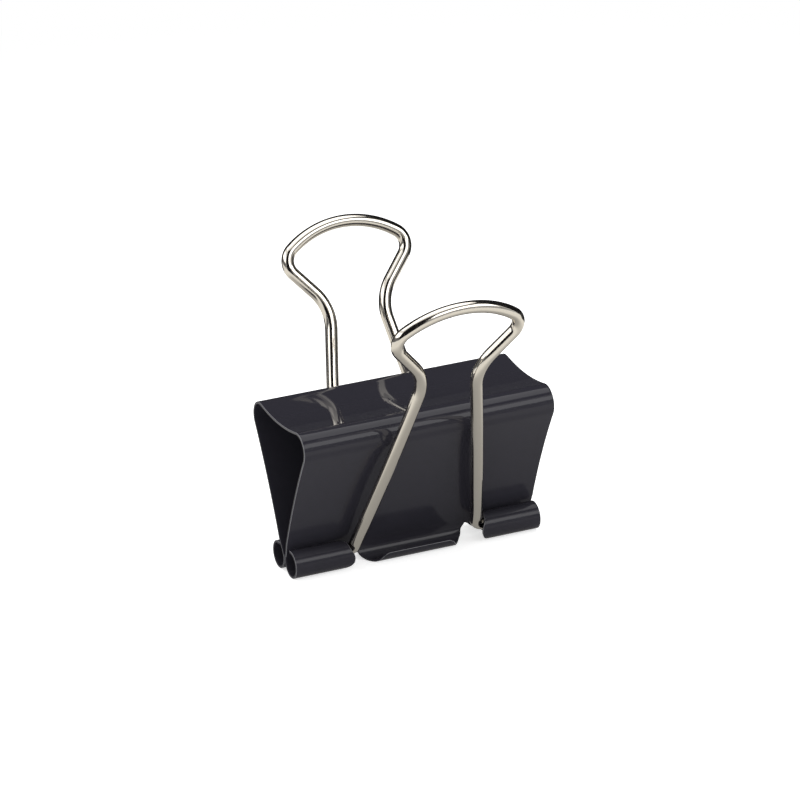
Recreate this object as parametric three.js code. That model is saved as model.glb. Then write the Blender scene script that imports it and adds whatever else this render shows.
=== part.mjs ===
// A large binder clip, 51 mm wide: one sheet of black spring steel and two bright wire handles.
// Units are millimetres. +X runs along the jaws, -Y is the front, +Z is up.
// The origin is centred between the jaws, level with the undersides of the rolled edges.

import * as THREE from 'three';

const degrees = Math.PI / 180;

// The sheet
const clipWidth = 51;           // along the jaws
const sheetThickness = 0.45;
const shoulderDepth = 23.9;     // front to back over the shoulders
const shoulderHeight = 31.3;    // top of the shoulders
const shoulderRadius = 3.3;     // outside of the bend
const spineDip = 0.9;           // from the top of the shoulders down to the middle of the spine
const plateHollow = 138;        // radius of the plates, which are slightly hollow seen from outside
const rollRadius = 2.7;         // outside of the rolled edges
const jawGap = 0.3;             // between the closed jaws
const seamPlace = 4.6;          // from the middle of the spine to where each jaw bends away
const seamGap = 0.3;

// The tabs along each jaw's edge, cut in the flat sheet and then rolled.
// A turn is an angle round the roll, from facing the paper, under the jaw and up the outside.
const tabTurn = 295;            // where the end tabs stop, just short of the plate
const tabInset = 0.22;          // the rolls stop a little short of the plate's ends
const tabCorner = 0.8;          // radius of the outer corner on a tab's free edge
const lipTurn = 165;            // where the middle lip stops
const lipCorner = 1.6;          // radius of the corners on the lip's free edge

// The notch between a tab and the lip, where a leg of the wire comes out: [turn, distance along X].
// The tab's end is measured from the leg's outer side, the lip's end from its inner side.
const notchTurn = -5;           // where the notch starts
const tabEnd = [[-5, -1.8], [5, -1.55], [15, -1.1], [32, 0.2], [58, 1.5], [85, 1.5], [112, 0.9], [140, 0.1],
  [175, -0.15], [215, -0.15], [245, 0.1], [275, 0.8], [295, 1.6]];
const lipEnd = [[-5, 0], [5, 0.3], [15, 0.7], [45, 1.4], [75, 2.6], [105, 3.4], [135, 3.8], [165, 4]];

// The handles. Their radii are to the middle of the wire.
const wireRadius = 1.2;
const handleReach = 58.5;       // from the feet's axis to the top of the loop
const loopRadius = 18.4;
const loopTurn = 36;            // how far the loop's top turns to each side
const lobeRadius = 3.2;
const flareSlant = 40;          // of the straight between lobe and neck
const flareLength = 5.5;
const neckRadius = 9;
const footSpread = 12.8;        // from the middle to where a leg's line meets the feet's axis
const elbowRadius = 1.7;
const footEndGap = 3.6;         // from the end of a foot to the outer end of its roll
const footSeatGap = 0.3;        // between a foot and the wall of its roll
const footSeatSlant = 27;       // from upright, the side of the roll where the foot sits
const handleBow = 520;          // radius of the handle's slight curve towards the clip
const handleStopGap = 0.2;      // between a handle that leans on its shoulder and the shoulder
const handleRestTurn = 2;       // degrees that the resting handles stand away from that stop

// Facets
const rollStep = 10;            // degrees, so that one facet faces the paper and one the table
const spineSteps = 5;
const crestSteps = 3;           // from the seam to the shoulder
const shoulderSteps = 10;
const plateSteps = 8;
const wireSides = 12;
const wireStep = 6;             // degrees of bend
const legSteps = 8;

const blackLacquer = new THREE.MeshStandardMaterial({ color: 0x28282d, roughness: 0.3, flatShading: true });
const nickelPlate = new THREE.MeshStandardMaterial({ color: 0xc4c0b8, roughness: 0.18, metalness: 1 });

// The section of the front half. Points are (Y, Z), and every arc is of the sheet's outside,
// which becomes the bore of a roll.

const point = (y, z) => new THREE.Vector2(y, z);
const spoke = (angle) => point(Math.cos(angle), Math.sin(angle));
const angleTo = (from, to) => Math.atan2(to.y - from.y, to.x - from.x);

const flat = Math.cos(rollStep / 2 * degrees);      // a facet's distance from the axis, for radius 1
const boreRadius = rollRadius - sheetThickness;
const rollCentre = point(-(rollRadius * flat + jawGap / 2), rollRadius * flat);
const shoulderCentre = point(shoulderRadius - shoulderDepth / 2, shoulderHeight - shoulderRadius);

// The spine dips in an arc about a point above it, which meets both shoulders smoothly
const spineHeight = shoulderHeight - spineDip;
const spineRise = spineHeight - shoulderCentre.y;
const spineRadius = (shoulderCentre.x ** 2 + spineRise ** 2 - shoulderRadius ** 2)
  / (2 * (shoulderRadius - spineRise));
const spineCentre = point(0, spineHeight + spineRadius);

// The plate's arc meets the shoulder and the roll smoothly, about a point in front of the clip
const plateCentre = (() => {
  const toShoulder = shoulderRadius + plateHollow;
  const toRoll = plateHollow - boreRadius;
  const between = rollCentre.clone().sub(shoulderCentre);
  const distance = between.length();
  const along = (distance ** 2 + toShoulder ** 2 - toRoll ** 2) / (2 * distance);
  const aside = Math.sqrt(toShoulder ** 2 - along ** 2);
  const unit = between.normalize();
  return shoulderCentre.clone().addScaledVector(unit, along).addScaledVector(point(unit.y, -unit.x), aside);
})();

// A station is one place on the section: a point of the outside and the direction out of it
function arc(centre, radius, from, to, steps, facing) {
  return Array.from({ length: steps + 1 }, (_, i) => {
    const out = spoke(from + (to - from) * i / steps);
    return { outside: centre.clone().addScaledVector(out, radius), out: out.multiplyScalar(facing) };
  });
}

const spineAngle = (distance) => -Math.PI / 2 - Math.asin(distance / spineRadius);

function spineStations() {
  const edge = seamPlace - seamGap / 2;
  return arc(spineCentre, spineRadius, spineAngle(-edge), spineAngle(edge), spineSteps, -1);
}

function jawStations() {
  const crest = arc(spineCentre, spineRadius, spineAngle(seamPlace + seamGap / 2),
    angleTo(spineCentre, shoulderCentre), crestSteps, -1);
  const shoulder = arc(shoulderCentre, shoulderRadius, angleTo(shoulderCentre, spineCentre),
    angleTo(shoulderCentre, plateCentre) + 2 * Math.PI, shoulderSteps, 1);
  const plate = arc(plateCentre, plateHollow, angleTo(plateCentre, shoulderCentre),
    angleTo(plateCentre, rollCentre), plateSteps, -1);
  return [...crest, ...shoulder.slice(1), ...plate.slice(1)];
}

function rollStations() {
  const steps = Math.round((tabTurn - notchTurn) / rollStep);
  return arc(rollCentre, boreRadius, -notchTurn * degrees, -tabTurn * degrees, steps, -1)
    .map((station, i) => ({ ...station, turn: notchTurn + i * rollStep }));
}

// A smooth curve through [turn, value] pairs
function valueAt(pairs, turn) {
  const last = pairs.length - 1;
  const i = Math.max(0, pairs.findLastIndex(([start], k) => start <= turn && k < last));
  const slope = (k) => {
    const [a, b] = [pairs[Math.max(k - 1, 0)], pairs[Math.min(k + 1, last)]];
    return (b[1] - a[1]) / (b[0] - a[0]);
  };
  const [[t0, v0], [t1, v1]] = [pairs[i], pairs[i + 1]];
  const t = Math.min((turn - t0) / (t1 - t0), 1);
  const wide = t1 - t0;
  return v0 + (v1 - v0) * t * t * (3 - 2 * t)
    + slope(i) * wide * t * (1 - t) ** 2 - slope(i + 1) * wide * t * t * (1 - t);
}

// How much a round corner takes off an edge, at a turn near the free edge
function cornerAt(turn, endTurn, radius) {
  const left = Math.max(endTurn - turn, 0) * degrees * (rollRadius - sheetThickness / 2);
  return left >= radius ? 0 : radius - Math.sqrt(radius ** 2 - (radius - left) ** 2);
}

const tabInner = (turn) => footSpread + wireRadius + valueAt(tabEnd, turn);
const tabOuter = (turn) => clipWidth / 2 - tabInset - cornerAt(turn, tabTurn, tabCorner);
const lipHalf = (turn) => footSpread - wireRadius - valueAt(lipEnd, turn) - cornerAt(turn, lipTurn, lipCorner);

// A closed solid of bent sheet. Each strip lies between two neighbouring stations,
// and each of its spans is [left, right] at the first station and [left, right] at the second.
function bentSheet(stations, strips) {
  const positions = [];
  const index = [];
  const numbers = new Map();
  const edges = new Map();
  const vertex = (i, x) => {
    const key = `${i} ${x.toFixed(6)}`;
    if (!numbers.has(key)) {
      const { outside, out } = stations[i];
      const inside = outside.clone().addScaledVector(out, -sheetThickness);
      numbers.set(key, positions.length / 3);
      positions.push(x, outside.x, outside.y, x, inside.x, inside.y);
    }
    return numbers.get(key);
  };
  const face = (a, b, c, d) => index.push(a, b, c, a, c, d);
  strips.forEach((spans, i) => {
    for (const [left, right, nextLeft, nextRight] of spans) {
      const corners = [vertex(i, left), vertex(i + 1, nextLeft), vertex(i + 1, nextRight), vertex(i, right)];
      face(...corners);
      face(...corners.map((corner) => corner + 1).reverse());
      corners.forEach((from, k) => edges.set(`${from} ${corners[(k + 1) % 4]}`, [from, corners[(k + 1) % 4]]));
    }
  });
  // Edges that no other span shares are the cut edges of the sheet
  for (const [from, to] of edges.values()) {
    if (!edges.has(`${to} ${from}`)) face(to, from, from + 1, to + 1);
  }
  const geometry = new THREE.BufferGeometry();
  geometry.setAttribute('position', new THREE.Float32BufferAttribute(positions, 3));
  geometry.setIndex(index);
  geometry.computeVertexNormals();
  return geometry;
}

function mesh(name, geometry, material) {
  const piece = new THREE.Mesh(geometry, material);
  piece.name = name;
  return piece;
}

function spineGeometry() {
  const stations = spineStations();
  const half = clipWidth / 2;
  return bentSheet(stations, stations.slice(1).map(() => [[-half, half, -half, half]]));
}

function jawGeometry() {
  const plain = jawStations();
  const rolled = rollStations();
  const stations = [...plain, ...rolled];
  // The plain sheet is divided along X at the places where the tabs and the lip start
  const half = clipWidth / 2;
  const inner = [-tabInner(notchTurn), -lipHalf(notchTurn), lipHalf(notchTurn), tabInner(notchTurn)];
  const row = (i) => {
    const outer = i < plain.length - 1 ? half : tabOuter(notchTurn);
    return [-outer, ...inner, outer];
  };
  const strips = plain.map((_, i) => {
    const [here, next] = [row(i), row(i + 1)];
    return here.slice(1).map((x, k) => [here[k], x, next[k], next[k + 1]]);
  });
  rolled.slice(1).forEach(({ turn }, i) => {
    const from = rolled[i].turn;
    const spans = [
      [-tabOuter(from), -tabInner(from), -tabOuter(turn), -tabInner(turn)],
      [tabInner(from), tabOuter(from), tabInner(turn), tabOuter(turn)],
    ];
    if (turn <= lipTurn) spans.push([-lipHalf(from), lipHalf(from), -lipHalf(turn), lipHalf(turn)]);
    strips.push(spans);
  });
  return bentSheet(stations, strips);
}

// The wire's middle line, from the top of the loop to the end of one foot, before it is bowed.
// Points are (X, height above the feet's axis), and a heading is the angle from straight down towards +X.
function halfWire() {
  const heading = (angle) => point(Math.sin(angle), -Math.cos(angle));
  const bend = (centre, radius, from, to) => {
    // Positive radius bends to the left of the way the wire runs, negative to the right
    const steps = Math.max(2, Math.round(Math.abs(to - from) / (wireStep * degrees)));
    return Array.from({ length: steps + 1 }, (_, i) => {
      const angle = from + (to - from) * i / steps;
      const side = heading(angle - Math.PI / 2).multiplyScalar(radius);
      return { at: centre.clone().add(side), along: heading(angle) };
    });
  };
  const sideways = Math.PI / 2;
  const lobeStart = sideways - loopTurn * degrees;
  const lobeFinish = -flareSlant * degrees;
  const loopCentre = point(0, handleReach - loopRadius);
  const loop = bend(loopCentre, -loopRadius, sideways, lobeStart);
  const lobeCentre = loopCentre.clone().addScaledVector(heading(lobeStart - sideways), lobeRadius - loopRadius);
  const lobe = bend(lobeCentre, -lobeRadius, lobeStart, lobeFinish);
  const flareEnd = lobe.at(-1).at.clone().addScaledVector(heading(lobeFinish), flareLength);
  const neckCentre = flareEnd.addScaledVector(heading(lobeFinish + sideways), neckRadius);
  // The leg is the line from the feet's axis that just touches the neck's bend
  const foot = point(footSpread, 0);
  const legSplay = Math.atan2(footSpread - neckCentre.x, neckCentre.y)
    + Math.asin(neckRadius / neckCentre.distanceTo(foot));
  const neck = bend(neckCentre, neckRadius, lobeFinish, legSplay);
  const elbowCentre = point(footSpread + elbowRadius * (1 - Math.sin(legSplay)) / Math.cos(legSplay), elbowRadius);
  const elbow = bend(elbowCentre, elbowRadius, legSplay, sideways);
  const leg = Array.from({ length: legSteps - 1 }, (_, i) => {
    const at = neck.at(-1).at.clone().lerp(elbow[0].at, (i + 1) / legSteps);
    return { at, along: heading(legSplay) };
  });
  const footEnd = point(clipWidth / 2 - tabInset - footEndGap, 0);
  return [...loop, ...lobe.slice(1), ...neck, ...leg, ...elbow, { at: footEnd, along: heading(sideways) }];
}

// The whole wire as a curve whose stations lie close together only where it bends
class WirePath extends THREE.Curve {
  constructor(stations) {
    super();
    this.stations = stations;
  }

  getUtoTmapping(u) {
    return u;
  }

  getPoint(t, target = new THREE.Vector3()) {
    return target.copy(this.stations[Math.round(t * (this.stations.length - 1))].at);
  }

  getTangent(t, target = new THREE.Vector3()) {
    return target.copy(this.stations[Math.round(t * (this.stations.length - 1))].along);
  }
}

function handleGeometry() {
  // The flat wire is wrapped on a wide cylinder, which bows it towards the clip
  const bowed = ({ at, along }, mirror) => {
    const turn = at.y / handleBow;
    return {
      at: new THREE.Vector3(mirror * at.x, handleBow * (1 - Math.cos(turn)), handleBow * Math.sin(turn)),
      along: new THREE.Vector3(along.x, mirror * along.y * Math.sin(turn), mirror * along.y * Math.cos(turn)),
    };
  };
  const half = halfWire();
  const stations = [
    ...half.slice(1).reverse().map((station) => bowed(station, -1)),
    ...half.map((station) => bowed(station, 1)),
  ];
  const section = new THREE.Shape(Array.from({ length: wireSides }, (_, i) => {
    return spoke(2 * Math.PI * i / wireSides).multiplyScalar(wireRadius);
  }));
  const path = new WirePath(stations);
  return new THREE.ExtrudeGeometry(section, { steps: stations.length - 1, extrudePath: path });
}

// A foot sits against its roll's wall, up and away from the paper
const seatSlant = footSeatSlant * degrees;
const footSeat = boreRadius * flat - wireRadius - footSeatGap;
const footAxis = point(rollCentre.x - footSeat * Math.sin(seatSlant), rollCentre.y + footSeat * Math.cos(seatSlant));

// The lean from upright at which the bowed legs come to the shoulder
const stopLean = (() => {
  const toShoulder = shoulderCentre.clone().sub(footAxis);
  const reach = wireRadius + handleStopGap + shoulderRadius;
  const across = (toShoulder.lengthSq() + 2 * handleBow * reach - reach ** 2) / (2 * handleBow);
  return Math.atan2(toShoulder.y, toShoulder.x) - Math.acos(across / toShoulder.length());
})();

function clipHalf(side) {
  const half = new THREE.Group();
  const handle = mesh(`${side}_handle`, handleGeometry(), nickelPlate);
  handle.position.set(0, footAxis.x, footAxis.y);
  handle.rotation.x = stopLean + handleRestTurn * degrees;
  half.add(mesh(`${side}_jaw`, jawGeometry(), blackLacquer), handle);
  return half;
}

const clip = new THREE.Group();
const rear = clipHalf('rear');
rear.rotation.z = Math.PI;
clip.add(mesh('spine', spineGeometry(), blackLacquer), clipHalf('front'), rear);

export default clip;
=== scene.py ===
# %% [markdown]
# # A large binder clip
#
# The real clip is only three pieces: one sheet of spring steel, stamped flat, rolled along its two
# long edges and folded over, and two handles of bent wire whose feet sit in the rolled edges.
# The sheet is lacquered black and the wires are nickel-plated.
#
# This lesson makes the sheet as the factory does, flat first and then bent along its section,
# and the wires as a bending machine does, from a list of corners and bend radii.

# %% Load the frame
import math

import bpy
import numpy as np
from mathutils import Matrix, Vector


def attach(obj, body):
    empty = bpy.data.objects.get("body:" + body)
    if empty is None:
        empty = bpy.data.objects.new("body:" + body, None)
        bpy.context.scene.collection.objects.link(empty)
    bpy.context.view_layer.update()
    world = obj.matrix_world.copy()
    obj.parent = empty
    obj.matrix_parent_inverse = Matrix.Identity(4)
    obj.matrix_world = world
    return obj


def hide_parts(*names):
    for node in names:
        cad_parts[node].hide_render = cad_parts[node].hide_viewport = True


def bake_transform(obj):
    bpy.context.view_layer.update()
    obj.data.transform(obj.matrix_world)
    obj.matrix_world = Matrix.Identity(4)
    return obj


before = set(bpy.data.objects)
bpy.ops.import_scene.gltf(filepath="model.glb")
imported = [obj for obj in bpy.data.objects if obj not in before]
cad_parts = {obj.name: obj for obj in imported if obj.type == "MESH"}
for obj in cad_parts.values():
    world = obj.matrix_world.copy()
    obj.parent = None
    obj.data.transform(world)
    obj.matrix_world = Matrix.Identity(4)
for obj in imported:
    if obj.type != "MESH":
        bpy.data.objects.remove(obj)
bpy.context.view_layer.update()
MM = 0.001

# %% [markdown]
# ## The camera
#
# The photograph was taken from far away with a long lens, from the front left and a little above,
# so parallel edges stay almost parallel. The camera turns a small step round its own view, too:
# the photographer's horizon was not quite level.

# %% Camera
TURN_LEFT = math.radians(24.05)
LOOK_DOWN = math.radians(21.82)
ROLL = math.radians(-1.72)
DISTANCE = 1010.6 * MM
FOCAL_MM = 240.9
AIM_RIGHT = -0.651 * MM
AIM_UP = 27.79 * MM


def make_camera():
    """The view from the front left, as three perpendicular directions and a place."""
    towards = Vector((
        -math.sin(TURN_LEFT) * math.cos(LOOK_DOWN),
        -math.cos(TURN_LEFT) * math.cos(LOOK_DOWN),
        math.sin(LOOK_DOWN),
    ))
    right = Vector((math.cos(TURN_LEFT), -math.sin(TURN_LEFT), 0))
    up = towards.cross(right)
    place = right * AIM_RIGHT + up * AIM_UP + towards * DISTANCE
    rolled_right = right * math.cos(ROLL) + up * math.sin(ROLL)
    rolled_up = up * math.cos(ROLL) - right * math.sin(ROLL)
    data = bpy.data.cameras.new("camera")
    data.lens = FOCAL_MM
    data.sensor_width = 36
    data.clip_start = 0.01
    camera = bpy.data.objects.new("camera", data)
    bpy.context.collection.objects.link(camera)
    turn = Matrix((rolled_right, rolled_up, towards)).transposed()
    camera.matrix_world = Matrix.Translation(place) @ turn.to_4x4()
    bpy.context.scene.camera = camera
    return towards


towards_camera = make_camera()
bpy.context.scene.view_settings.view_transform = "Standard"
print("the camera looks from", [round(v, 3) for v in towards_camera])

# %% [markdown]
# ## Adding nodes
#
# Materials and Geometry Nodes trees are both made of nodes with sockets. One helper makes a node,
# sets its options, and fills each socket with a value or with a link from another node.


# %% The node helper
def add(tree, kind, sockets=None, **options):
    """A new node of that kind. Sockets are named or numbered, and take a value or another socket."""
    node = tree.nodes.new(kind)
    for option, value in options.items():
        setattr(node, option, value)
    for socket, value in (sockets or {}).items():
        if isinstance(value, bpy.types.NodeSocket):
            tree.links.new(value, node.inputs[socket])
        else:
            node.inputs[socket].default_value = value
    return node


def linear(hex_colour):
    """A colour written as sRGB hex, as the linear numbers that Blender calculates with."""
    parts = [int(hex_colour[i:i + 2], 16) / 255 for i in (1, 3, 5)]
    return (*[v / 12.92 if v <= 0.04045 else ((v + 0.055) / 1.055) ** 2.4 for v in parts], 1)


# %% [markdown]
# ## Black lacquer
#
# The sheet is dipped or sprayed with black enamel and baked before it is rolled. Baked enamel is
# smooth, but it pulls into a faint orange peel, which makes reflections waver a little. The handles
# rub the plates and rolls as they swing, so these are duller than the spine, which nothing touches.

# %% Baked black lacquer
PEEL_MM = 1.6                   # distance between the swells of the orange peel
PEEL_HEIGHT_MM = 0.0015
RIPPLE_MM = 9.0                 # slow unevenness left by rolling the sheet
RIPPLE_HEIGHT_MM = 0.03
RUBBED_BELOW_MM = 26.0          # the handles reach this height on the plates
UNTOUCHED_ABOVE_MM = 30.0
RUBBED, UNTOUCHED = 1.7, 0.6    # shares of the lacquer's middle roughness


def new_material(name):
    material = bpy.data.materials.new(name)
    material.use_nodes = True
    tree = material.node_tree
    tree.nodes.clear()
    return material, tree


def baked_lacquer(name, hex_colour, roughness):
    material, tree = new_material(name)
    place = add(tree, "ShaderNodeTexCoord").outputs["Object"]
    peel = add(tree, "ShaderNodeTexNoise", {"Vector": place, "Scale": 1 / (PEEL_MM * MM), "Detail": 1.0})
    ripple = add(tree, "ShaderNodeTexNoise", {"Vector": place, "Scale": 1 / (RIPPLE_MM * MM), "Detail": 0.0})
    slow = add(tree, "ShaderNodeBump", {
        "Height": ripple.outputs["Fac"], "Distance": RIPPLE_HEIGHT_MM * MM, "Strength": 1.0,
    })
    fine = add(tree, "ShaderNodeBump", {
        "Height": peel.outputs["Fac"], "Distance": PEEL_HEIGHT_MM * MM, "Strength": 1.0,
        "Normal": slow.outputs["Normal"],
    })
    height = add(tree, "ShaderNodeSeparateXYZ", {0: place}).outputs["Z"]
    rubbed = add(tree, "ShaderNodeMapRange", {
        "Value": height, "From Min": RUBBED_BELOW_MM * MM, "From Max": UNTOUCHED_ABOVE_MM * MM,
        "To Min": roughness * RUBBED, "To Max": roughness * UNTOUCHED,
    })
    haze = add(tree, "ShaderNodeMapRange", {
        "Value": peel.outputs["Fac"], "From Min": 0.3, "From Max": 0.7, "To Min": 0.85, "To Max": 1.15,
    })
    dull = add(tree, "ShaderNodeMath", {
        0: rubbed.outputs["Result"], 1: haze.outputs["Result"],
    }, operation="MULTIPLY")
    shader = add(tree, "ShaderNodeBsdfPrincipled", {
        "Base Color": linear(hex_colour), "IOR": 1.5, "Specular IOR Level": 0.23,
        "Roughness": dull.outputs[0], "Normal": fine.outputs["Normal"],
    })
    add(tree, "ShaderNodeOutputMaterial", {"Surface": shader.outputs["BSDF"]})
    return material


black_lacquer = baked_lacquer("baked_black_lacquer", "#302f36", 0.075)
# painted highlight: a lighter grey lacquer on the outer rounded rim, where the edge catches the light
painted_highlight_rim = baked_lacquer("lacquer_painted_highlight_on_rim", "#7e7e82", 0.2)
print("lacquers:", black_lacquer.name, painted_highlight_rim.name)

# %% [markdown]
# ## Nickel plate
#
# The handles are drawn steel wire, bent and then nickel-plated in a barrel. Bright nickel is a
# mirror with a warm grey tint. Drawing leaves hair-fine lines along the wire, and the barrel leaves
# small dull spots, so the mirror is never quite even.

# %% Bright nickel
DRAW_LINE_MM = 0.12     # the real lines are finer, and are drawn this wide so that they show
DRAW_LINE_HEIGHT_MM = 0.0006
DRAW_LINE_STRETCH = 0.02    # the lines are 50 times longer than wide
SPOT_MM = 0.8


def bright_nickel():
    material, tree = new_material("bright_nickel_plate")
    place = add(tree, "ShaderNodeTexCoord").outputs["Object"]
    spots = add(tree, "ShaderNodeTexNoise", {"Vector": place, "Scale": 1 / (SPOT_MM * MM), "Detail": 2.0})
    around = add(tree, "ShaderNodeAttribute", attribute_name="wire_place").outputs["Vector"]
    stretched = add(tree, "ShaderNodeMapping", {"Vector": around, "Scale": (DRAW_LINE_STRETCH, 1.0, 1.0)})
    lines = add(tree, "ShaderNodeTexNoise", {
        "Vector": stretched.outputs["Vector"], "Scale": 1 / (DRAW_LINE_MM * MM), "Detail": 1.0,
    })
    bump = add(tree, "ShaderNodeBump", {
        "Height": lines.outputs["Fac"], "Distance": DRAW_LINE_HEIGHT_MM * MM, "Strength": 1.0,
    })
    haze = add(tree, "ShaderNodeMapRange", {
        "Value": spots.outputs["Fac"], "From Min": 0.35, "From Max": 0.75, "To Min": 0.07, "To Max": 0.16,
    })
    shader = add(tree, "ShaderNodeBsdfPrincipled", {
        "Base Color": linear("#dcd6cb"), "Metallic": 1.0,
        "Roughness": haze.outputs["Result"], "Normal": bump.outputs["Normal"],
    })
    add(tree, "ShaderNodeOutputMaterial", {"Surface": shader.outputs["BSDF"]})
    return material


nickel = bright_nickel()
print("plating:", nickel.name)

# %% [markdown]
# ## The section of the sheet
#
# Seen from its end, the sheet is a chain of arcs, each running smoothly into the next: the dished
# spine, the tight shoulder, the slightly hollow plate and the roll. It would be possible to draw the
# chain by eye, but the arcs' sizes are known, so the places where they meet are worked out instead.
# Only the front half is described. The rear half is the same, turned round.

# %% Section of the front half
# Sizes are in millimetres and turns in degrees round the roll: 0 faces the paper, 90 the table, 180 outwards.
SHEET = 0.45                # thickness
HALF_WIDTH = 25.5
SHOULDER_DEPTH = 23.9
SHOULDER_HEIGHT = 31.3
SHOULDER_RADIUS = 3.3
SPINE_DIP = 0.9
PLATE_HOLLOW = 138.0
FACET = math.cos(math.radians(5))       # the solid rolls have flat facets, and the round ones fit inside
ROLL_RADIUS = 2.7 * FACET
JAW_GAP = 0.3
NOTCH_TURN = -5.0
TAB_TURN = 295.0
LIP_TURN = 170.0

bore = ROLL_RADIUS - SHEET
roll_centre = np.array([-(ROLL_RADIUS + JAW_GAP / 2), ROLL_RADIUS])
shoulder_centre = np.array([SHOULDER_RADIUS - SHOULDER_DEPTH / 2, SHOULDER_HEIGHT - SHOULDER_RADIUS])
spine_rise = SHOULDER_HEIGHT - SPINE_DIP - shoulder_centre[1]
spine_radius = (
    (shoulder_centre[0] ** 2 + spine_rise ** 2 - SHOULDER_RADIUS ** 2)
    / (2 * (SHOULDER_RADIUS - spine_rise))
)
spine_centre = np.array([0.0, SHOULDER_HEIGHT - SPINE_DIP + spine_radius])


def find_plate_centre():
    """The middle of the plate's arc, which touches the shoulder and the roll."""
    to_shoulder = SHOULDER_RADIUS + PLATE_HOLLOW
    to_roll = PLATE_HOLLOW - bore
    between = roll_centre - shoulder_centre
    distance = np.hypot(*between)
    along = (distance ** 2 + to_shoulder ** 2 - to_roll ** 2) / (2 * distance)
    aside = math.sqrt(to_shoulder ** 2 - along ** 2)
    unit = between / distance
    return shoulder_centre + unit * along + np.array([unit[1], -unit[0]]) * aside


def angle_to(start, end):
    return math.atan2(end[1] - start[1], end[0] - start[0])


def arc(centre, radius, start, end, step=0.02):
    """Points along an arc, closely spaced in millimetres, and its length."""
    length = abs(end - start) * radius
    angles = np.linspace(start, end, max(2, int(length / step)))
    return centre + radius * np.stack([np.cos(angles), np.sin(angles)], 1), length


plate_centre = find_plate_centre()
arcs = [
    arc(spine_centre, spine_radius, -math.pi / 2, angle_to(spine_centre, shoulder_centre)),
    arc(shoulder_centre, SHOULDER_RADIUS, angle_to(shoulder_centre, spine_centre),
        angle_to(shoulder_centre, plate_centre) + 2 * math.pi),
    arc(plate_centre, PLATE_HOLLOW, angle_to(plate_centre, shoulder_centre), angle_to(plate_centre, roll_centre)),
    arc(roll_centre, bore, angle_to(roll_centre, plate_centre) + math.pi, -math.radians(TAB_TURN)),
]
roll_start_turn = -math.degrees(angle_to(roll_centre, plate_centre) + math.pi)
section = np.concatenate([arcs[0][0]] + [points[1:] for points, _ in arcs[1:]])
arc_starts = np.cumsum([0] + [length for _, length in arcs])
print("arc lengths in mm:", [round(length, 2) for _, length in arcs], "the roll starts at", round(roll_start_turn, 1))

# %% [markdown]
# ## The flat blank
#
# The blank is stamped from strip. Each long edge is cut into three tabs: a lip in the middle and one
# tab at each end. The gaps between them widen and narrow to let the handles' bent legs swing.
# A grid of faces is made with a row for every few degrees of bend, because a face can only bend
# where it has an edge. Only the tabs' and lip's own columns continue past the notches.

# %% Shape of the tabs and the lip
FOOT_SPREAD = 12.8
WIRE_RADIUS = 1.2
TAB_INSET = 0.22
TAB_CORNER = 0.8
LIP_CORNER = 1.6
# How far the cut lies from the passing leg: its outer side for a tab, its inner side for the lip.
# The tab's end swells towards the leg on its outer side, and a real leg springs over the swell.
TAB_END = [(-5, -1.8), (5, -1.55), (15, -1.1), (32, 0.2), (58, 1.5), (85, 1.5), (112, 0.7), (140, -0.35),
           (170, -0.8), (195, -0.65), (215, -0.2), (245, 0.1), (275, 0.8), (295, 1.6)]
LIP_END = [(-5, 0), (5, 0.3), (15, 0.7), (45, 1.2), (75, 2.1), (105, 3.1), (135, 3.8), (170, 4.1)]


def smooth_value(table, turn):
    """The value at a turn of the roll, on a smooth curve through the table."""
    turns, values = (np.array(column, float) for column in zip(*table))
    slopes = np.gradient(values, turns)
    i = int(np.clip(np.searchsorted(turns, turn, side="right") - 1, 0, len(turns) - 2))
    span = turns[i + 1] - turns[i]
    t = (turn - turns[i]) / span
    return float((2 * t ** 3 - 3 * t ** 2 + 1) * values[i] + (t ** 3 - 2 * t ** 2 + t) * span * slopes[i]
                 + (3 * t ** 2 - 2 * t ** 3) * values[i + 1] + (t ** 3 - t ** 2) * span * slopes[i + 1])


def length_at(turn):
    """How far along the blank a turn of the roll lies."""
    return arc_starts[3] + bore * math.radians(turn - roll_start_turn)


def tab_columns(turn):
    """Places across a tab, from its inner end to its outer end."""
    inner = FOOT_SPREAD + WIRE_RADIUS + smooth_value(TAB_END, turn)
    outer = HALF_WIDTH - TAB_INSET
    return [inner, *np.linspace(inner + 0.4, outer - TAB_CORNER, 5), outer - TAB_CORNER * 2 / 3,
            outer - TAB_CORNER / 3, outer]


def lip_columns(turn):
    """Places across the lip, from left to right."""
    half = FOOT_SPREAD - WIRE_RADIUS - smooth_value(LIP_END, turn)
    right = [0.0, (half - LIP_CORNER) / 3, (half - LIP_CORNER) * 2 / 3,
             *np.linspace(half - LIP_CORNER, half, 6)]
    return [-x for x in right[:0:-1]] + right


def rounded(x, s, corner_x, corner_s, radius):
    """Moves a grid point near a square corner so that the corner becomes a quarter circle."""
    side = math.copysign(1, corner_x)
    shrink = bore / (bore + SHEET / 2)      # the blank is measured on its inner side, which is shorter in the roll
    u = (abs(x) - (abs(corner_x) - radius)) / radius
    v = (s - (corner_s - radius * shrink)) / (radius * shrink)
    if u <= 0 or v <= 0:
        return x, s
    u, v = u * math.sqrt(1 - v * v / 2), v * math.sqrt(1 - u * u / 2)
    return side * (abs(corner_x) - radius + radius * u), corner_s - radius * shrink * (1 - v)


print("lip half width at the notch and at its free edge:",
      round(lip_columns(NOTCH_TURN)[-1], 2), round(lip_columns(LIP_TURN)[-1], 2))

# %% The blank as a grid
DRAWN_IN_OVER = 3.4         # the plate narrows to the roll's length over this distance


def spread(start, end, count):
    return list(np.linspace(start, end, count + 1))[1:]


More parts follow.
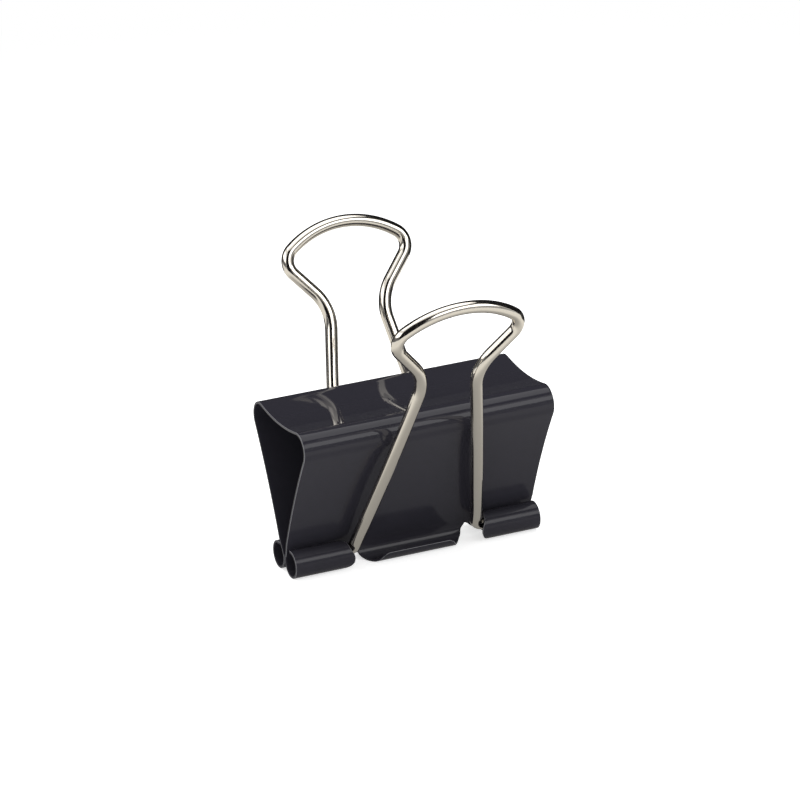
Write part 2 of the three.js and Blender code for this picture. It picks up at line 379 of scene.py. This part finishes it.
def blank_rows():
    """Distances along the blank: the plate's rows, then the turns of the tab's and the lip's rows."""
    plate = [0.0, *spread(0, arc_starts[1], 14), *spread(arc_starts[1], arc_starts[2], 26),
             *spread(arc_starts[2], arc_starts[3], 26), *spread(arc_starts[3], length_at(NOTCH_TURN), 4)]
    tab_straight = TAB_TURN - math.degrees(TAB_CORNER / (bore + SHEET / 2))
    lip_straight = LIP_TURN - math.degrees(LIP_CORNER / (bore + SHEET / 2))
    tab = [NOTCH_TURN, *spread(NOTCH_TURN, tab_straight, 62), *spread(tab_straight, TAB_TURN, 3)]
    lip = [NOTCH_TURN, *spread(NOTCH_TURN, lip_straight, 30), *spread(lip_straight, LIP_TURN, 5)]
    return plate, tab, lip


def flat_blank():
    """The blank of one half as a closed mesh, lying flat: x across, -y along it, z up to its outer side."""
    plate, tab, lip = blank_rows()
    points, faces = [], []

    def row(xs, s):
        start = len(points)
        points.extend((x, s) for x in xs)
        return list(range(start, len(points)))

    def join(upper, lower):
        faces.extend((upper[i], lower[i], lower[i + 1], upper[i + 1]) for i in range(len(upper) - 1))

    tab_x, lip_x = tab_columns(NOTCH_TURN), lip_columns(NOTCH_TURN)
    last = None
    for s in plate:
        t = np.clip((s - arc_starts[3] + DRAWN_IN_OVER) / DRAWN_IN_OVER, 0, 1)
        outer = HALF_WIDTH - TAB_INSET * t * t * (3 - 2 * t)
        right = [*tab_x[:-1], outer]
        line = row([-x for x in right[::-1]] + lip_x + right, s)
        if last:
            join(last, line)
        last = line
    count = len(tab_x)
    for side, start in ((-1, last[:count]), (1, last[-count:])):
        above = start
        for turn in tab[1:]:
            xs = tab_columns(turn)
            xs = xs if side > 0 else [-x for x in xs[::-1]]
            corner = side * (HALF_WIDTH - TAB_INSET)
            placed = [rounded(x, length_at(turn), corner, length_at(TAB_TURN), TAB_CORNER) for x in xs]
            below = list(range(len(points), len(points) + count))
            points.extend(placed)
            join(above, below)
            above = below
    above = last[count:-count]
    for turn in lip[1:]:
        xs = lip_columns(turn)
        placed = [rounded(x, length_at(turn), math.copysign(xs[-1], x), length_at(LIP_TURN), LIP_CORNER) for x in xs]
        below = list(range(len(points), len(points) + len(xs)))
        points.extend(placed)
        join(above, below)
        above = below
    return points, faces


blank_points, blank_faces = flat_blank()
print("blank:", len(blank_points), "points and", len(blank_faces), "faces on each side")

# %% [markdown]
# ## Thickness and rounded rims
#
# Stamping and tumbling leave the cut edges slightly rounded. The blank gets its wall first, as a
# second copy of the grid below the first. Then every rim edge gets a bevel weight, so that a Bevel
# modifier rounds the rims and nothing else. The edge at the middle of the spine gets none, because
# the sheet isn't cut there: the other half continues it.

# %% Blank with thickness
RIM_ROUNDING = 0.09


def solid_blank(name):
    count = len(blank_points)
    verts = [(x * MM, -s * MM, z * MM) for z in (0, -SHEET) for x, s in blank_points]
    top = [tuple(face) for face in blank_faces]
    bottom = [tuple(i + count for i in face[::-1]) for face in blank_faces]
    used = {(face[i], face[(i + 1) % 4]) for face in top for i in range(4)}
    rim = [(a, b) for a, b in used if (b, a) not in used]
    walls = [(b, a, a + count, b + count) for a, b in rim]
    mesh = bpy.data.meshes.new(name)
    mesh.from_pydata(verts, [], top + bottom + walls)
    rounded_edges = set()
    for a, b in rim:
        if blank_points[a][1] > 0 or blank_points[b][1] > 0:
            rounded_edges.update({(min(a, b), max(a, b)), (min(a, b) + count, max(a, b) + count)})
    weights = mesh.attributes.new("bevel_weight_edge", "FLOAT", "EDGE")
    for edge in mesh.edges:
        a, b = sorted(edge.vertices)
        weights.data[edge.index].value = 1.0 if (a, b) in rounded_edges else 0.0
    return mesh


flat_mesh = solid_blank("flat_blank")
print("flat blank with its thickness:", len(flat_mesh.polygons), "faces,", flat_mesh.validate(), "repairs")

# %% [markdown]
# ## Bending with Geometry Nodes
#
# The bend itself is one rule: a point that lies a distance along the flat blank goes to the same
# distance along the section, and keeps its height above the surface. Geometry Nodes can sample a
# curve at a length, so the tree is only a few nodes. The rim that lies outside, whose faces sloped in
# the flat blank, gets a lighter grey lacquer, a painted highlight where the rounded edge catches the
# light. Past the start of the roll, the sheet's other side is the one that lies outside.


# %% Tree that bends a blank
RIM_SLOPE, RIM_SLOPE_SPAN = 0.55, 0.43  # how far a rounded rim's faces point up in the flat blank


def new_tree(name, inputs):
    """An empty tree with named inputs, given as a dictionary from name to kind of socket."""
    tree = bpy.data.node_groups.new(name, "GeometryNodeTree")
    tree.interface.new_socket("Geometry", in_out="INPUT", socket_type="NodeSocketGeometry")
    tree.interface.new_socket("Geometry", in_out="OUTPUT", socket_type="NodeSocketGeometry")
    for label, kind in inputs.items():
        tree.interface.new_socket(label, in_out="INPUT", socket_type=kind)
    return tree, add(tree, "NodeGroupInput").outputs


def bend_tree():
    tree, given = new_tree("bend_sheet", {
        "Section": "NodeSocketObject", "Roll start": "NodeSocketFloat",
        "Face finish": "NodeSocketMaterial", "Rim painted highlight": "NodeSocketMaterial",
    })
    flat = add(tree, "GeometryNodeInputPosition").outputs["Position"]
    part = add(tree, "ShaderNodeSeparateXYZ", {0: flat}).outputs
    normal = add(tree, "ShaderNodeSeparateXYZ", {0: add(tree, "GeometryNodeInputNormal").outputs[0]}).outputs["Z"]
    along = add(tree, "ShaderNodeMath", {0: part["Y"], 1: -1.0}, operation="MULTIPLY").outputs[0]
    rolled = add(tree, "ShaderNodeMath", {0: along, 1: given["Roll start"]}, operation="GREATER_THAN").outputs[0]
    side = add(tree, "ShaderNodeMath", {0: rolled, 1: -2.0, 2: 1.0}, operation="MULTIPLY_ADD").outputs[0]
    outside = add(tree, "ShaderNodeMath", {0: normal, 1: side}, operation="MULTIPLY").outputs[0]
    # the rim faces that point outside get the painted highlight
    sloping = add(tree, "FunctionNodeCompare", {
        "A": outside, "B": RIM_SLOPE, "Epsilon": RIM_SLOPE_SPAN,
    }, data_type="FLOAT", operation="EQUAL").outputs["Result"]
    marked = add(tree, "GeometryNodeStoreNamedAttribute", {
        "Geometry": given["Geometry"], "Name": "outer_rim", "Value": sloping,
    }, data_type="BOOLEAN", domain="FACE").outputs["Geometry"]
    section_curve = add(tree, "GeometryNodeObjectInfo", {"Object": given["Section"]}).outputs["Geometry"]
    sample = add(tree, "GeometryNodeSampleCurve", {"Curves": section_curve, "Length": along}, mode="LENGTH").outputs
    outward = add(tree, "ShaderNodeVectorMath", {0: sample["Tangent"], 1: (1, 0, 0)}, operation="CROSS_PRODUCT")
    raised = add(tree, "ShaderNodeVectorMath", {0: outward.outputs[0], "Scale": part["Z"]}, operation="SCALE")
    across = add(tree, "ShaderNodeCombineXYZ", {"X": part["X"]})
    place = add(tree, "ShaderNodeVectorMath", {0: sample["Position"], 1: raised.outputs[0]}, operation="ADD")
    bent = add(tree, "ShaderNodeVectorMath", {0: place.outputs[0], 1: across.outputs[0]}, operation="ADD")
    moved = add(tree, "GeometryNodeSetPosition", {"Geometry": marked, "Position": bent.outputs[0]})
    smooth = add(tree, "GeometryNodeSetShadeSmooth", {"Geometry": moved.outputs["Geometry"]})
    real = add(tree, "GeometryNodeRealizeInstances", {"Geometry": smooth.outputs["Geometry"]})
    faces = add(tree, "GeometryNodeSetMaterial", {
        "Geometry": real.outputs["Geometry"], "Material": given["Face finish"],
    })
    # painted highlight: the marked outer rim faces get the lighter lacquer
    on_rim = add(tree, "GeometryNodeInputNamedAttribute", {"Name": "outer_rim"}, data_type="BOOLEAN")
    rims = add(tree, "GeometryNodeSetMaterial", {
        "Geometry": faces.outputs["Geometry"], "Selection": on_rim.outputs["Attribute"],
        "Material": given["Rim painted highlight"],
    })
    add(tree, "NodeGroupOutput", {0: rims.outputs["Geometry"]})
    return tree


def curve_object(name, points, sizes=None):
    """An open curve of straight pieces, for a tree to read. It is removed when the tree has run."""
    data = bpy.data.curves.new(name, "CURVE")
    data.dimensions = "3D"
    spline = data.splines.new("POLY")
    spline.points.add(len(points) - 1)
    for point, place, size in zip(spline.points, points, sizes or [1.0] * len(points)):
        point.co = (*place, 1)
        point.radius = size
    piece = bpy.data.objects.new(name, data)
    bpy.context.collection.objects.link(piece)
    return piece


def made_by(tree, base, values, rounding=0.0):
    """The mesh that a tree makes from a base mesh, as a plain mesh with nothing live on it."""
    host = bpy.data.objects.new("host", base)
    bpy.context.collection.objects.link(host)
    if rounding:
        bevel = host.modifiers.new("rim_rounding", "BEVEL")
        bevel.limit_method, bevel.width, bevel.segments = "WEIGHT", rounding, 3
    modifier = host.modifiers.new("tree", "NODES")
    modifier.node_group = tree
    names = {item.name: item.identifier for item in tree.interface.items_tree if item.in_out == "INPUT"}
    for label, value in values.items():
        modifier[names[label]] = value
    bpy.context.view_layer.update()
    evaluated = host.evaluated_get(bpy.context.evaluated_depsgraph_get())
    mesh = bpy.data.meshes.new_from_object(evaluated)
    bpy.data.objects.remove(host)
    return mesh


section_path = curve_object("section", [(0, y * MM, z * MM) for y, z in section])
half_sheet = made_by(bend_tree(), flat_mesh, {
    "Section": section_path, "Roll start": arc_starts[3] * MM, "Face finish": black_lacquer, "Rim painted highlight": painted_highlight_rim,
}, rounding=RIM_ROUNDING * MM)
bpy.data.objects.remove(section_path)
half_sheet.set_sharp_from_angle(angle=math.radians(40))
print("bent half:", len(half_sheet.polygons), "faces, finishes", [m.name for m in half_sheet.materials])

# %% [markdown]
# ## Two halves, one sheet
#
# On the real clip the front and rear halves are one piece. Here each half is its own mesh, and the
# rear half is the front one turned round. When the real clip opens, its steel gives between the middle
# of the spine and just before the shoulder, and the plate leans back under the spine.


# %% Front and rear halves
def piece_of(name, mesh):
    mesh.name = name
    piece = bpy.data.objects.new(name, mesh)
    bpy.context.collection.objects.link(piece)
    return piece


half_turn = Matrix.Rotation(math.pi, 4, "Z")
rear_mesh = half_sheet.copy()
rear_mesh.transform(half_turn)
front_sheet = piece_of("front_half_of_sheet", half_sheet)
rear_sheet = piece_of("rear_half_of_sheet", rear_mesh)
for piece in (front_sheet, rear_sheet):
    weighted = piece.modifiers.new("even_shading", "WEIGHTED_NORMAL")
    weighted.keep_sharp = True
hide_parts("front_jaw", "spine")
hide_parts("rear_jaw")
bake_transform(front_sheet)
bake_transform(rear_sheet)
print("sheet halves:", front_sheet.name, rear_sheet.name)

# %% [markdown]
# ## The wire's path
#
# A wire-bending machine feeds straight wire and bends it at set places, round pins of set radius. So
# the handle is written as the machine sees it: corners where the straight lines would meet, each with
# its bend radius. From the loop's top the wire turns back in at the two lobes, out again at the
# necks, and out sideways at the elbows, to the feet that sit in the rolls.

# %% Corners and bend radii
HANDLE_REACH = 58.5
LOOP_RADIUS = 18.4
LOOP_TURN = 36.0
LOBE_RADIUS = 3.2
FLARE_SLANT = 40.0
FLARE_LENGTH = 5.5
NECK_RADIUS = 9.0
ELBOW_RADIUS = 1.7
FOOT_END_GAP = 3.6
FOOT_END = HALF_WIDTH - TAB_INSET - FOOT_END_GAP


def heading(degrees):
    """The direction that many degrees from straight down, towards +X."""
    return np.array([math.sin(math.radians(degrees)), -math.cos(math.radians(degrees))])


def meeting(point_a, heading_a, point_b, heading_b):
    """Where two straight lines cross."""
    steps = np.linalg.solve(np.stack([heading(heading_a), -heading(heading_b)], 1), point_b - point_a)
    return point_a + heading(heading_a) * steps[0]


def wire_corners():
    """Corners of the right half, from the top of the loop to the end of the foot, with bend radii."""
    lobe_start = 90 - LOOP_TURN
    loop_centre = np.array([0, HANDLE_REACH - LOOP_RADIUS])
    loop_end = loop_centre - heading(lobe_start - 90) * LOOP_RADIUS
    lobe_centre = loop_centre + heading(lobe_start - 90) * (LOBE_RADIUS - LOOP_RADIUS)
    lobe_end = lobe_centre - heading(-FLARE_SLANT - 90) * LOBE_RADIUS
    flare_end = lobe_end + heading(-FLARE_SLANT) * FLARE_LENGTH
    neck_centre = flare_end + heading(-FLARE_SLANT + 90) * NECK_RADIUS
    foot = np.array([FOOT_SPREAD, 0.0])
    to_foot = foot - neck_centre
    splay = math.degrees(math.atan2(to_foot[0], -to_foot[1]) + math.asin(NECK_RADIUS / np.hypot(*to_foot)))
    top = np.array([0, loop_centre[1] + LOOP_RADIUS / math.cos(math.radians(LOOP_TURN))])
    return [
        (top, LOOP_RADIUS),
        (meeting(loop_end, lobe_start, lobe_end, -FLARE_SLANT), LOBE_RADIUS),
        (meeting(flare_end, -FLARE_SLANT, foot, splay), NECK_RADIUS),
        (foot, ELBOW_RADIUS),
        (np.array([FOOT_END, 0.0]), 0.0),
    ]


right_corners = wire_corners()
corners = [((-x, h), r) for (x, h), r in right_corners[:0:-1]] + [((x, h), r) for (x, h), r in right_corners]
print("corners in mm:", [(round(x, 2), round(h, 2), r) for (x, h), r in right_corners])

# %% [markdown]
# ## Tree that bends the wire
#
# Fillet Curve is the bending machine: it rounds each corner by that corner's own radius. The curve is
# then cut into short equal steps, bowed a little towards the clip, and swept with a circle. At its two
# ends the wire is a little thinner, as the cut ends are tumbled round. Each point also remembers
# how far along the wire and where round it it lies, so that the plating can follow the wire.


# %% Bent wire
HANDLE_BOW = 520.0
WIRE_STEP = 0.25
WIRE_SIDES = 28
TUMBLED_END = 0.8           # share of the wire's radius that is left at its cut ends


def wire_tree():
    tree, given = new_tree("bend_wire", {
        "Path": "NodeSocketObject", "Wire radius": "NodeSocketFloat", "Bow radius": "NodeSocketFloat",
        "Step": "NodeSocketFloat", "Sides": "NodeSocketInt", "Finish": "NodeSocketMaterial",
    })
    path = add(tree, "GeometryNodeObjectInfo", {"Object": given["Path"]}).outputs["Geometry"]
    bend_radius = add(tree, "GeometryNodeInputRadius").outputs[0]
    fillet = add(tree, "GeometryNodeFilletCurve", {
        "Curve": path, "Count": 40, "Radius": bend_radius, "Limit Radius": False,
    }, mode="POLY")
    even = add(tree, "GeometryNodeResampleCurve", {
        "Curve": fillet.outputs[0], "Length": given["Step"],
    }, mode="LENGTH")
    flat = add(tree, "GeometryNodeInputPosition").outputs["Position"]
    part = add(tree, "ShaderNodeSeparateXYZ", {0: flat}).outputs
    bow = given["Bow radius"]
    turn = add(tree, "ShaderNodeMath", {0: part["Z"], 1: bow}, operation="DIVIDE").outputs[0]
    sine = add(tree, "ShaderNodeMath", {0: turn}, operation="SINE").outputs[0]
    cosine = add(tree, "ShaderNodeMath", {0: turn}, operation="COSINE").outputs[0]
    height = add(tree, "ShaderNodeMath", {0: sine, 1: bow}, operation="MULTIPLY").outputs[0]
    lost = add(tree, "ShaderNodeMath", {0: cosine, 1: bow}, operation="MULTIPLY").outputs[0]
    forward = add(tree, "ShaderNodeMath", {0: bow, 1: lost}, operation="SUBTRACT").outputs[0]
    bowed = add(tree, "ShaderNodeCombineXYZ", {"X": part["X"], "Y": forward, "Z": height}).outputs[0]
    moved = add(tree, "GeometryNodeSetPosition", {"Geometry": even.outputs[0], "Position": bowed}).outputs[0]
    thick = add(tree, "GeometryNodeSetCurveRadius", {"Curve": moved, "Radius": 1.0}).outputs[0]
    ends = add(tree, "GeometryNodeCurveEndpointSelection").outputs[0]
    tumbled = add(tree, "GeometryNodeSetCurveRadius", {
        "Curve": thick, "Selection": ends, "Radius": TUMBLED_END,
    }).outputs[0]
    along = add(tree, "GeometryNodeSplineParameter").outputs["Length"]
    path_known = add(tree, "GeometryNodeStoreNamedAttribute", {
        "Geometry": tumbled, "Name": "along_wire", "Value": along,
    }, data_type="FLOAT", domain="POINT").outputs[0]
    ring = add(tree, "GeometryNodeCurvePrimitiveCircle", {
        "Resolution": given["Sides"], "Radius": given["Wire radius"],
    }, mode="RADIUS").outputs["Curve"]
    ring_known = add(tree, "GeometryNodeStoreNamedAttribute", {
        "Geometry": ring, "Name": "round_wire", "Value": flat,
    }, data_type="FLOAT_VECTOR", domain="POINT").outputs[0]
    swept = add(tree, "GeometryNodeCurveToMesh", {
        "Curve": path_known, "Profile Curve": ring_known, "Fill Caps": True,
    }).outputs[0]
    round_place = add(tree, "GeometryNodeInputNamedAttribute", {"Name": "round_wire"}, data_type="FLOAT_VECTOR")
    along_place = add(tree, "GeometryNodeInputNamedAttribute", {"Name": "along_wire"}, data_type="FLOAT")
    ring_part = add(tree, "ShaderNodeSeparateXYZ", {0: round_place.outputs["Attribute"]}).outputs
    place = add(tree, "ShaderNodeCombineXYZ", {
        "X": along_place.outputs["Attribute"], "Y": ring_part["X"], "Z": ring_part["Y"],
    }).outputs[0]
    known = add(tree, "GeometryNodeStoreNamedAttribute", {
        "Geometry": swept, "Name": "wire_place", "Value": place,
    }, data_type="FLOAT_VECTOR", domain="POINT").outputs[0]
    smooth = add(tree, "GeometryNodeSetShadeSmooth", {"Geometry": known}).outputs[0]
    real = add(tree, "GeometryNodeRealizeInstances", {"Geometry": smooth}).outputs[0]
    finished = add(tree, "GeometryNodeSetMaterial", {"Geometry": real, "Material": given["Finish"]}).outputs[0]
    add(tree, "NodeGroupOutput", {0: finished})
    return tree


wire_path = curve_object("wire_path", [(x * MM, 0, h * MM) for (x, h), _ in corners],
                         [r * MM for _, r in corners])
handle_mesh = made_by(wire_tree(), bpy.data.meshes.new("nothing"), {
    "Path": wire_path, "Wire radius": WIRE_RADIUS * MM, "Bow radius": HANDLE_BOW * MM,
    "Step": WIRE_STEP * MM, "Sides": WIRE_SIDES, "Finish": nickel,
})
bpy.data.objects.remove(wire_path)
handle_mesh.set_sharp_from_angle(angle=math.radians(40))
print("bent wire:", len(handle_mesh.polygons), "faces")

# %% [markdown]
# ## Handles in place
#
# Both handles are the same wire. Each leans out against its shoulder, with its feet in the rolls.
# The feet sit loosely there, so a handle can also tip a little sideways, as the front one does.

# %% Front and rear handles
LEAN = 26.617               # degrees from upright
FOOT_AXIS = (0, -3.1763, 3.3504)
SIDE_TIP = 0.4              # degrees towards +X

leaning = Matrix.Translation(Vector(FOOT_AXIS) * MM) @ Matrix.Rotation(math.radians(LEAN), 4, "X")
rear_handle_mesh = handle_mesh.copy()
rear_handle_mesh.transform(half_turn @ leaning)
handle_mesh.transform(leaning @ Matrix.Rotation(math.radians(SIDE_TIP), 4, "Y"))
front_wire = piece_of("front_wire_handle", handle_mesh)
rear_wire = piece_of("rear_wire_handle", rear_handle_mesh)
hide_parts("front_handle")
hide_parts("rear_handle")
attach(front_wire, "front_handle")
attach(rear_wire, "rear_handle")
print("handles:", front_wire.name, rear_wire.name)

# %% [markdown]
# ## Floor
#
# The clip stands on a white table that runs on into a white wall, so no horizon shows. The floor takes
# the clip's soft shadow near it, and further out it turns into the plain white of the background.
# Light Path tells the shader which rays see it: the camera's, and those of mirrors and glass. In the
# mirror of a wire the table has painted shade beside the clip, standing in for the light the clip
# keeps off it, and is bright further out.

# %% White floor and white surroundings
FLOOR_HALF = 4.0            # metres
SHADOW_REACH = 0.34
# painted shade on the table as mirrors see it: darkest within the first distance, in metres, plain beyond the second
DIM_WITHIN, BRIGHT_BEYOND = 0.03, 0.09
MIRROR_GLOW, CAMERA_GLOW = 0.26, 0.62
ROOM_LEVEL = 0.5


def seen_rays(tree):
    """1 for rays of the camera, of mirrors and of glass, and 0 for the rest."""
    path = add(tree, "ShaderNodeLightPath").outputs
    mirror = add(tree, "ShaderNodeMath", {0: path["Is Camera Ray"], 1: path["Is Glossy Ray"]}, operation="MAXIMUM")
    seen = add(tree, "ShaderNodeMath", {0: mirror.outputs[0], 1: path["Is Transmission Ray"]}, operation="MAXIMUM")
    return seen.outputs[0], path


def white_floor():
    material, tree = new_material("white_table")
    seen, path = seen_rays(tree)
    place = add(tree, "ShaderNodeTexCoord").outputs["Object"]
    distance = add(tree, "ShaderNodeVectorMath", {0: place}, operation="LENGTH").outputs["Value"]
    away = add(tree, "ShaderNodeMapRange", {
        "Value": distance, "From Min": DIM_WITHIN, "From Max": BRIGHT_BEYOND,
    }, interpolation_type="SMOOTHERSTEP")
    # painted shade: as mirrors see it, the table is darker near the clip and lighter further out
    mirrored_with_painted_shade = add(tree, "ShaderNodeMix", {
        "Factor": away.outputs["Result"], "A": linear("#807e7a"), "B": linear("#d6d4ce"),
    }, data_type="RGBA")
    white = add(tree, "ShaderNodeMix", {
        "Factor": path["Is Glossy Ray"], "A": linear("#f6f6f6"), "B": mirrored_with_painted_shade.outputs[2],
    }, data_type="RGBA")
    paper = add(tree, "ShaderNodeBsdfDiffuse", {"Color": white.outputs[2]})
    lift = add(tree, "ShaderNodeMapRange", {
        "Value": path["Is Camera Ray"], "To Min": MIRROR_GLOW, "To Max": CAMERA_GLOW,
    })
    dim = add(tree, "ShaderNodeMath", {0: seen, 1: lift.outputs["Result"]}, operation="MULTIPLY")
    glow = add(tree, "ShaderNodeEmission", {"Color": (1, 1, 1, 1), "Strength": dim.outputs[0]})
    near = add(tree, "ShaderNodeAddShader", {0: paper.outputs[0], 1: glow.outputs[0]})
    far = add(tree, "ShaderNodeEmission", {"Color": (1, 1, 1, 1), "Strength": 1.0})
    fade = add(tree, "ShaderNodeMapRange", {
        "Value": distance, "From Min": SHADOW_REACH * 0.3, "From Max": SHADOW_REACH,
    }, interpolation_type="SMOOTHERSTEP")
    share = add(tree, "ShaderNodeMath", {0: fade.outputs["Result"], 1: seen}, operation="MULTIPLY")
    mixed = add(tree, "ShaderNodeMixShader", {0: share.outputs[0], 1: near.outputs[0], 2: far.outputs[0]})
    add(tree, "ShaderNodeOutputMaterial", {"Surface": mixed.outputs[0]})
    return material


def staged(name, points, faces, material):
    mesh = bpy.data.meshes.new(name)
    mesh.from_pydata(points, [], faces)
    mesh.materials.append(material)
    thing = bpy.data.objects.new(name, mesh)
    bpy.context.collection.objects.link(thing)
    return thing


square = [(x * FLOOR_HALF, y * FLOOR_HALF, 0) for x, y in ((-1, -1), (1, -1), (1, 1), (-1, 1))]
floor = staged("floor", square, [(0, 1, 2, 3)], white_floor())

world = bpy.data.worlds.new("white_room")
bpy.context.scene.world = world
world.use_nodes = True
world.node_tree.nodes.clear()
seen_share, _ = seen_rays(world.node_tree)
level = add(world.node_tree, "ShaderNodeMapRange", {"Value": seen_share, "To Min": ROOM_LEVEL, "To Max": 1.0})
air = add(world.node_tree, "ShaderNodeBackground", {"Color": (1, 1, 1, 1), "Strength": level.outputs["Result"]})
add(world.node_tree, "ShaderNodeOutputWorld", {"Surface": air.outputs[0]})
print("floor and world:", floor.name, world.name)

# %% [markdown]
# ## Softboxes and black cards
#
# Mirrors and lacquer show their surroundings, so the look of this clip is mostly what stands round it.
# Photographers put large softboxes where an edge should shine, and black cards where it should stay
# dark, here before the lens, behind the clip and low on both sides. The cards are only seen in
# reflections, so they don't take light from the clip.


# %% Lamps and cards
LAMP_AIM = Vector((0, 0, 0.02))
LAMP_DISTANCE = 0.7
CARD_STEPS = 24


def direction(azimuth, elevation):
    """A direction seen from the clip: azimuth 0 is the front, and 90 its right."""
    a, e = math.radians(azimuth), math.radians(elevation)
    return Vector((math.sin(a) * math.cos(e), -math.cos(a) * math.cos(e), math.sin(e)))


def softbox(name, centre, width, height, brightness):
    """A rectangular lamp that faces the clip. Brightness 1 looks white."""
    lamp = bpy.data.lights.new(name, "AREA")
    lamp.shape, lamp.size, lamp.size_y = "RECTANGLE", width, height
    lamp.energy = brightness * math.pi * width * height
    lamp.spread = math.pi
    thing = bpy.data.objects.new(name, lamp)
    thing.location = centre
    thing.rotation_euler = (LAMP_AIM - Vector(centre)).to_track_quat("-Z", "Y").to_euler()
    thing.visible_camera = False
    bpy.context.collection.objects.link(thing)
    return thing


def card(name, azimuths, bottom, top, distance, felt_colour):
    """A curved card round the clip, that only mirrors see."""
    across = np.linspace(azimuths[0], azimuths[1], CARD_STEPS + 1)
    ring = [Vector((math.sin(math.radians(a)), -math.cos(math.radians(a)), 0)) * distance for a in across]
    points = [(*p.xy, bottom) for p in ring] + [(*p.xy, top) for p in ring]
    above = CARD_STEPS + 1
    faces = [(i, i + 1, i + 1 + above, i + above) for i in range(CARD_STEPS)]
    screen = staged(name, points, faces, felt_colour)
    screen.visible_camera = screen.visible_diffuse = screen.visible_shadow = False
    return screen


def felt(name, hex_colour):
    material, tree = new_material(name)
    shader = add(tree, "ShaderNodeBsdfDiffuse", {"Color": linear(hex_colour)})
    add(tree, "ShaderNodeOutputMaterial", {"Surface": shader.outputs[0]})
    return material


black_felt = felt("black_felt", "#1c1c1e")
grey_felt = felt("grey_felt", "#a8a8a8")
dark_felt = felt("dark_grey_felt", "#3c3c3e")
middle_felt = felt("middle_grey_felt", "#6c6c6e")
top_box = softbox("top_softbox", (0.05, 0.16, 0.6), 1.0, 0.68, 1.1)
key_box = softbox("key_softbox", direction(27, 33) * LAMP_DISTANCE, 0.75, 0.26, 2.2)
left_box = softbox("left_softbox", direction(-97, 24) * LAMP_DISTANCE, 0.75, 0.45, 1.2)
cards = [
    card("card_before_lens", (-60, -5), 0.0, 0.46, 0.28, black_felt),
    card("card_above_key", (-5, 105), 0.47, 0.75, 0.4, black_felt),
    card("card_below_key", (-5, 60), 0.0, 0.17, 0.42, grey_felt),
    card("low_card_behind", (62, 222), 0.0, 0.055, 0.11, dark_felt),
    card("low_card_left", (-138, -62), 0.0, 0.14, 0.4, middle_felt),
    card("high_card_behind", (62, 222), 0.0, 0.5, 0.32, black_felt),
]
print("lamps:", top_box.name, key_box.name, left_box.name, "cards:", [screen.name for screen in cards])
